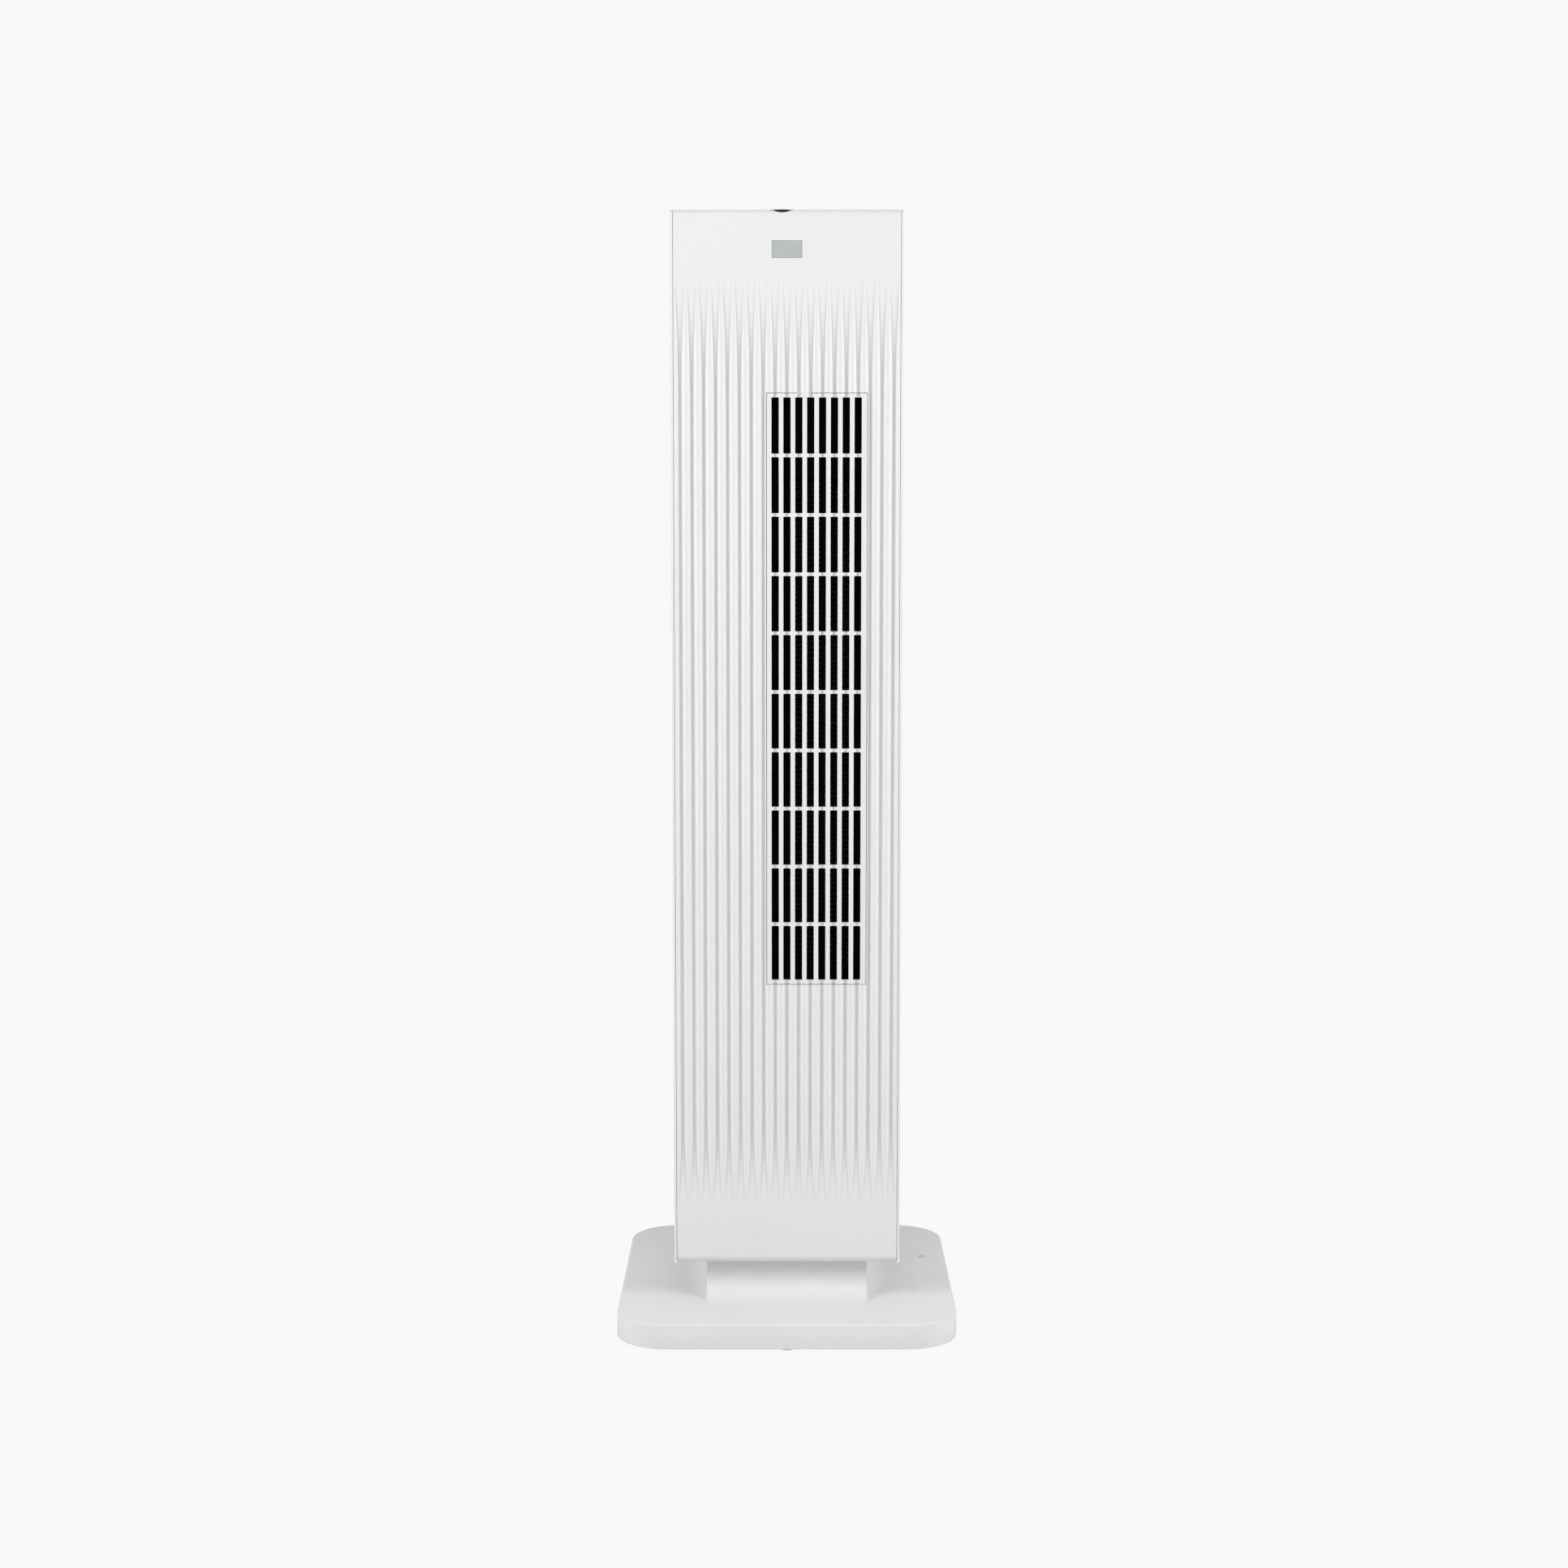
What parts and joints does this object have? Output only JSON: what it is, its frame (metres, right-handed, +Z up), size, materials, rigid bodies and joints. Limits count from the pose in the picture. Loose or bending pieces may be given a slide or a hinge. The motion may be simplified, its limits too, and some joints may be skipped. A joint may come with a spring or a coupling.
{
  "type": "ceramic tower heater",
  "caption": "Tall free-standing electric fan heater: a fluted tower with a slotted outlet, ceramic core and blower, swinging on a flat base with a coved neck.",
  "frame": {"origin": "on the floor under the middle of the base, at the bottom of the rubber feet", "axes": "+Z up the tower, -Y towards the outlet and display, +X to the right when facing the outlet"},
  "size_m": [0.234, 0.25, 0.7681],
  "materials": {
    "white_shell": "fine satin moulding",
    "black_plastic": "satin",
    "black_gloss": "gloss",
    "window_lens": "smoked translucent lens",
    "circuit_board": "solder mask",
    "black_rubber": "matt",
    "white_nylon": "natural nylon",
    "steel": "zinc plated",
    "iron_weight": "rough",
    "bronze": "sintered",
    "fin_alloy": "dull"
  },
  "bodies": {
    "base": {"base_cover": "white_shell", "neck_cover": "white_shell", "base_plate": "black_plastic", "counterweight": "iron_weight", "ballast_screws": "steel", "rubber_feet": "black_rubber", "base_screws": "steel", "cord_gland": "black_plastic", "indicator_lens": "window_lens", "indicator_board": "circuit_board", "tip_switch": "black_plastic", "swivel_post": "white_nylon", "post_screws": "steel", "slide_ring": "white_nylon", "ring_gear": "white_nylon", "retaining_ring": "steel"},
    "plunger": {"tip_plunger": "white_nylon"},
    "tower": {"front_panel": "white_shell", "left_side_panel": "white_shell", "right_side_panel": "white_shell", "rear_panel": "white_shell", "rear_screws": "steel", "outlet_grille": "white_shell", "display_window": "window_lens", "display_board": "circuit_board", "button_guide": "black_plastic", "button_board": "circuit_board", "turntable": "black_plastic", "turntable_screws": "steel", "thrust_washer": "white_nylon", "swing_motor": "steel", "motor_ear_screws": "steel", "inner_frame": "white_nylon", "control_board": "circuit_board", "blower_motor": "steel", "motor_dampers": "black_rubber", "motor_screws": "steel", "bearing_bush": "bronze", "bearing_holder": "black_rubber", "scroll_housing": "white_nylon", "air_tongue": "white_nylon", "heater_frame": "black_plastic", "heater_bars": "fin_alloy", "heater_fins": "fin_alloy", "heater_terminals": "steel", "thermal_cutout": "black_plastic", "handle_cup": "white_shell", "switch_housing": "black_plastic"},
    "blower": {"motor_shaft": "steel", "blower_wheel": "black_plastic", "wheel_pin": "steel"},
    "pinion": {"swing_pinion": "white_nylon"},
    "button": {"power_button": "black_gloss"},
    "rocker": {"switch_rocker": "black_plastic"},
    "rear_cover": {"inlet_cover": "white_shell", "dust_filter": "black_plastic"}
  },
  "joints": [
    {"name": "tower_swing", "type": "hinge", "parent": "base", "child": "tower", "pos_m": [0, 0, 0.046], "axis": [0, 0, 1], "range_deg": [-35, 35]},
    {"name": "blower_spin", "type": "hinge", "parent": "tower", "child": "blower", "pos_m": [0, 0.022, 0.44], "axis": [0, 0, 1], "continuous": true},
    {"name": "pinion_spin", "type": "hinge", "parent": "tower", "child": "pinion", "pos_m": [0, 0.032, 0.056], "axis": [0, 0, 1], "range_deg": [-110, 110]},
    {"name": "power_button_press", "type": "slide", "parent": "tower", "child": "button", "axis": [0, 0, -1], "range_m": [0, 0.0008], "stiffness_N_per_m": 600},
    {"name": "mains_rocker", "type": "hinge", "parent": "tower", "child": "rocker", "pos_m": [0.048, 0.065, 0.0966], "axis": [1, 0, 0], "range_deg": [-12, 0]},
    {"name": "inlet_cover_pull", "type": "slide", "parent": "tower", "child": "rear_cover", "axis": [0, 1, 0], "range_m": [0, 0.04]},
    {"name": "tip_plunger_drop", "type": "slide", "parent": "base", "child": "plunger", "axis": [0, 0, -1], "range_m": [0, 0.0028], "stiffness_N_per_m": 40, "springref_m": 0.004}
  ],
  "couplings": [
    {"joint": "pinion_spin", "follows": "tower_swing", "ratio": 3}
  ]
}
